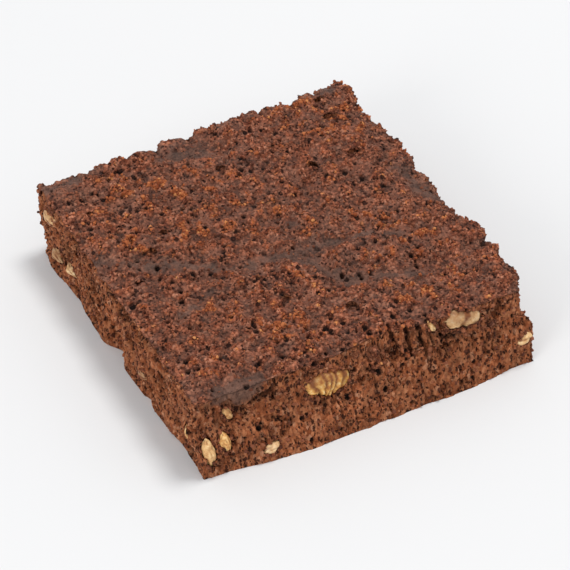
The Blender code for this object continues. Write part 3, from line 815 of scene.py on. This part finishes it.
def walnut_piece(node_name):
    """A kernel piece with its folds, its streaks and its own tone."""
    nut = NUTS.get(node_name, OTHER_NUT)
    mesh = nut_skin(node_name)
    spots, ways = vertex_arrays(mesh)
    offsets = spots - spots.mean(axis=0)
    long_way = np.linalg.svd(offsets, full_matrices=False)[2][0]
    if long_way[2] > 0:
        long_way = -long_way
    half_length = np.abs(offsets @ long_way).max()
    along = offsets @ long_way / half_length
    core = along[:, None] * half_length * long_way
    narrower = 1 - nut.pointed * np.abs(along)[:, None] ** 1.5
    spots = spots + (offsets - core) * (narrower - 1)
    knobbles = np.array([noise.fractal(Vector(spot) / KNOBBLE, 1.0, 2.0, 3) for spot in spots])
    moves = nut.swell * MM + KNOBBLE_HEIGHT * (2.2 if nut.ribs else 1) * knobbles
    tone = np.full(len(spots), nut.tone)
    if nut.ribs:
        fold, differ = rib_folds(offsets, along, nut.ribs)
        high_part = 2 * offsets[:, 2] / np.ptp(offsets[:, 2])
        moves -= RIB_DEPTH * fold * np.clip(1 - high_part, 0, 1)
        spots[:, 2] -= RIB_HANG * np.clip(-high_part, 0, 1) * (1 - fold) * (1 + 2 * differ)
        # Painted shade: the upper part of a ribbed piece, which sits under the crust's edge, is drawn brown,
        # more so on its knobbles.
        painted_overhang_shade = np.clip(1.2 * high_part + 0.6 * knobbles + 0.1, 0, 1)
        tone = (tone + 0.7 * differ).clip(0, 1)
    else:
        drawn = (offsets - 0.85 * core) / STREAK
        streaks = np.array([noise.noise(Vector(spot) + Vector((7, 0, 0))) for spot in drawn])
        fold = (0.1 + 1.6 * streaks).clip(0, 1)
        moves -= STREAK_DEPTH * fold
        painted_overhang_shade = 0
    mesh.vertices.foreach_set("co", (spots + moves[:, None] * ways).ravel())
    # The attribute "fold" adds up the nut's own skin, its folds or streaks, painted shade on the upper part
    # of a ribbed piece and a browner colour in dents; in the folds between ribs the brown is skin and
    # painted shade at once.
    skin = np.clip(nut.skin + 0.85 * fold + 0.6 * painted_overhang_shade + 0.5 * np.clip(-knobbles - 0.1, 0, 1), 0, 1)
    for name, values in (("fold", skin), ("tone", tone)):
        mesh.attributes.new(name, "FLOAT", "POINT").data.foreach_set("value", values)
    mesh.materials.clear()
    mesh.materials.append(walnut)
    mesh.shade_smooth()
    piece = bpy.data.objects.new(node_name + "_kernel", mesh)
    scene.collection.objects.link(piece)
    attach(piece, "root")
    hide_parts(node_name)
    return piece


nuts = [walnut_piece(name) for name in sorted(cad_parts) if name != CRUMB_NODE]
print(len(nuts), "walnut pieces")

# %% [markdown]
# Loose crumbs sit all over a cut square. There are thousands, so each has only twenty faces. One grain is
# made with the icosphere operator, and arrays of its corners are turned, scaled and laid on places of
# the crumb's skin, which are drawn by how likely a crumb is there. Every grain carries its own shade in
# an attribute, because neighbouring crumbs differ in colour.

# %% Grains to scatter
skin_places, skin_normals = vertex_arrays(crumb_mesh)


def grain_template():
    """Corners and faces of a ball of twenty faces."""
    bm = bmesh.new()
    bmesh.ops.create_icosphere(bm, subdivisions=1, radius=1.0)
    corners = np.array([vertex.co for vertex in bm.verts])
    faces = np.array([[vertex.index for vertex in face.verts] for face in bm.faces])
    bm.free()
    return corners, faces


def random_turns(count):
    """Turn matrices drawn evenly, from unit quaternions."""
    w, x, y, z = np.split(rng.normal(size=(count, 4)), 4, axis=1)
    w, x, y, z = (part[:, 0] / np.sqrt(w**2 + x**2 + y**2 + z**2)[:, 0] for part in (w, x, y, z))
    rows = [
        [1 - 2 * (y * y + z * z), 2 * (x * y - z * w), 2 * (x * z + y * w)],
        [2 * (x * y + z * w), 1 - 2 * (x * x + z * z), 2 * (y * z - x * w)],
        [2 * (x * z - y * w), 2 * (y * z + x * w), 1 - 2 * (x * x + y * y)],
    ]
    return np.array(rows).transpose(2, 0, 1)


def scatter_crumbs(name, count, radii, homes, weights, material):
    """Lays grains on some of the homes, drawn by their weights, as one piece."""
    chosen = rng.choice(len(weights), size=count, p=weights / weights.sum())
    corners, faces = grain_template()
    small, large = radii
    sizes = small + (large - small) * rng.random(count) ** 2.2
    shapes = corners[None] * rng.uniform(0.72, 1.28, (count, len(corners), 1))
    shapes = shapes * rng.uniform(0.7, 1.2, (count, 1, 3)) * sizes[:, None, None]
    shapes = np.einsum("nij,nkj->nki", random_turns(count), shapes)
    lifts = sizes * rng.uniform(-0.5, 0.35, count)
    middles = homes[chosen] + skin_normals[chosen] * lifts[:, None]
    all_corners = (shapes + middles[:, None]).reshape(-1, 3)
    all_faces = (faces[None] + len(corners) * np.arange(count)[:, None, None]).reshape(-1, 3)
    mesh = bpy.data.meshes.new(name)
    mesh.from_pydata(all_corners, [], all_faces)
    shades = np.repeat(rng.random(count), len(corners))
    mesh.attributes.new("shade", "FLOAT", "POINT").data.foreach_set("value", shades)
    mesh.materials.append(material)
    piece = bpy.data.objects.new(name, mesh)
    scene.collection.objects.link(piece)
    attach(piece, "root")
    print(name, len(all_faces), "triangles")


print("a grain has", len(grain_template()[1]), "faces")

# %% [markdown]
# Brown crumbs cling wherever the crumb is open, so they keep off the film, the pores and the foot. Some
# more lie in the joint round each nut and hide where its pocket ends. Toasted crumbs gather where the
# crust is toasted.

# %% Loose crumbs
FOOT_CLEAR = 0.6 * MM  # no crumb lies lower, or it would reach through the table
NUT_RIM = (0.4 * MM, 1.0 * MM)  # how near to a nut its own crumbs lie


def loose_crumb_material(name, stops):
    """Broken crumb: each grain has one brown of its own, with a dusty matt surface."""
    material, tree, shader = new_material(name, 0.85, 0.2)
    shade = add_node(tree, "Attribute", {"attribute_name": "shade"})["Fac"]
    colour = add_node(tree, "ValToRGB", links={"Fac": shade}, stops=stops)["Color"]
    tree.links.new(colour, shader.inputs["Base Color"])
    place = add_node(tree, "TexCoord")["Object"]
    grit = add_node(tree, "TexNoise", {"Scale": 1 / FINE_GRIT, "Detail": 2.0}, {"Vector": place})["Fac"]
    bump = add_node(tree, "Bump", {"Strength": 0.6, "Distance": 0.15 * MM}, {"Height": grit})
    tree.links.new(bump["Normal"], shader.inputs["Normal"])
    return material


brown_crumb = loose_crumb_material(
    "loose_chocolate_crumb", [(0.0, "#4c291d"), (0.5, "#7b4732"), (1.0, "#9a5f42")]
)
toasted_crumb = loose_crumb_material(
    "toasted_orange_crumb", [(0.0, "#783b20"), (0.5, "#a05833"), (0.9, "#b97043"), (1.0, "#d09058")]
)
nut_spots = np.concatenate([vertex_arrays(nut.data)[0] for nut in nuts])
nut_tree = kdtree.KDTree(len(nut_spots))
for number, spot in enumerate(nut_spots):
    nut_tree.insert(spot, number)
nut_tree.balance()
off_foot = (skin_places[:, 2] > FOOT_CLEAR).astype(float)
bare = off_foot * (1.03 - film) * (1 - pore)
near_nut = np.zeros(len(skin_places))
nut_rims = skin_places.copy()
for number in np.flatnonzero(lying < 0.9):
    spot, _, distance = nut_tree.find(skin_places[number])
    near_nut[number] = NUT_RIM[0] < distance < NUT_RIM[1]
    nut_rims[number] += 0.5 * (np.array(spot) - skin_places[number])
scatter_crumbs("loose_crumbs", 7000, (0.16 * MM, 0.5 * MM), skin_places, bare, brown_crumb)
scatter_crumbs("crumbs_round_the_nuts", 1000, (0.2 * MM, 0.5 * MM), nut_rims, near_nut, brown_crumb)
toasted_places = bare * (toast - TOAST_LEAST) ** 1.8
scatter_crumbs("toasted_crumbs", 2800, (0.18 * MM, 0.5 * MM), skin_places, toasted_places, toasted_crumb)
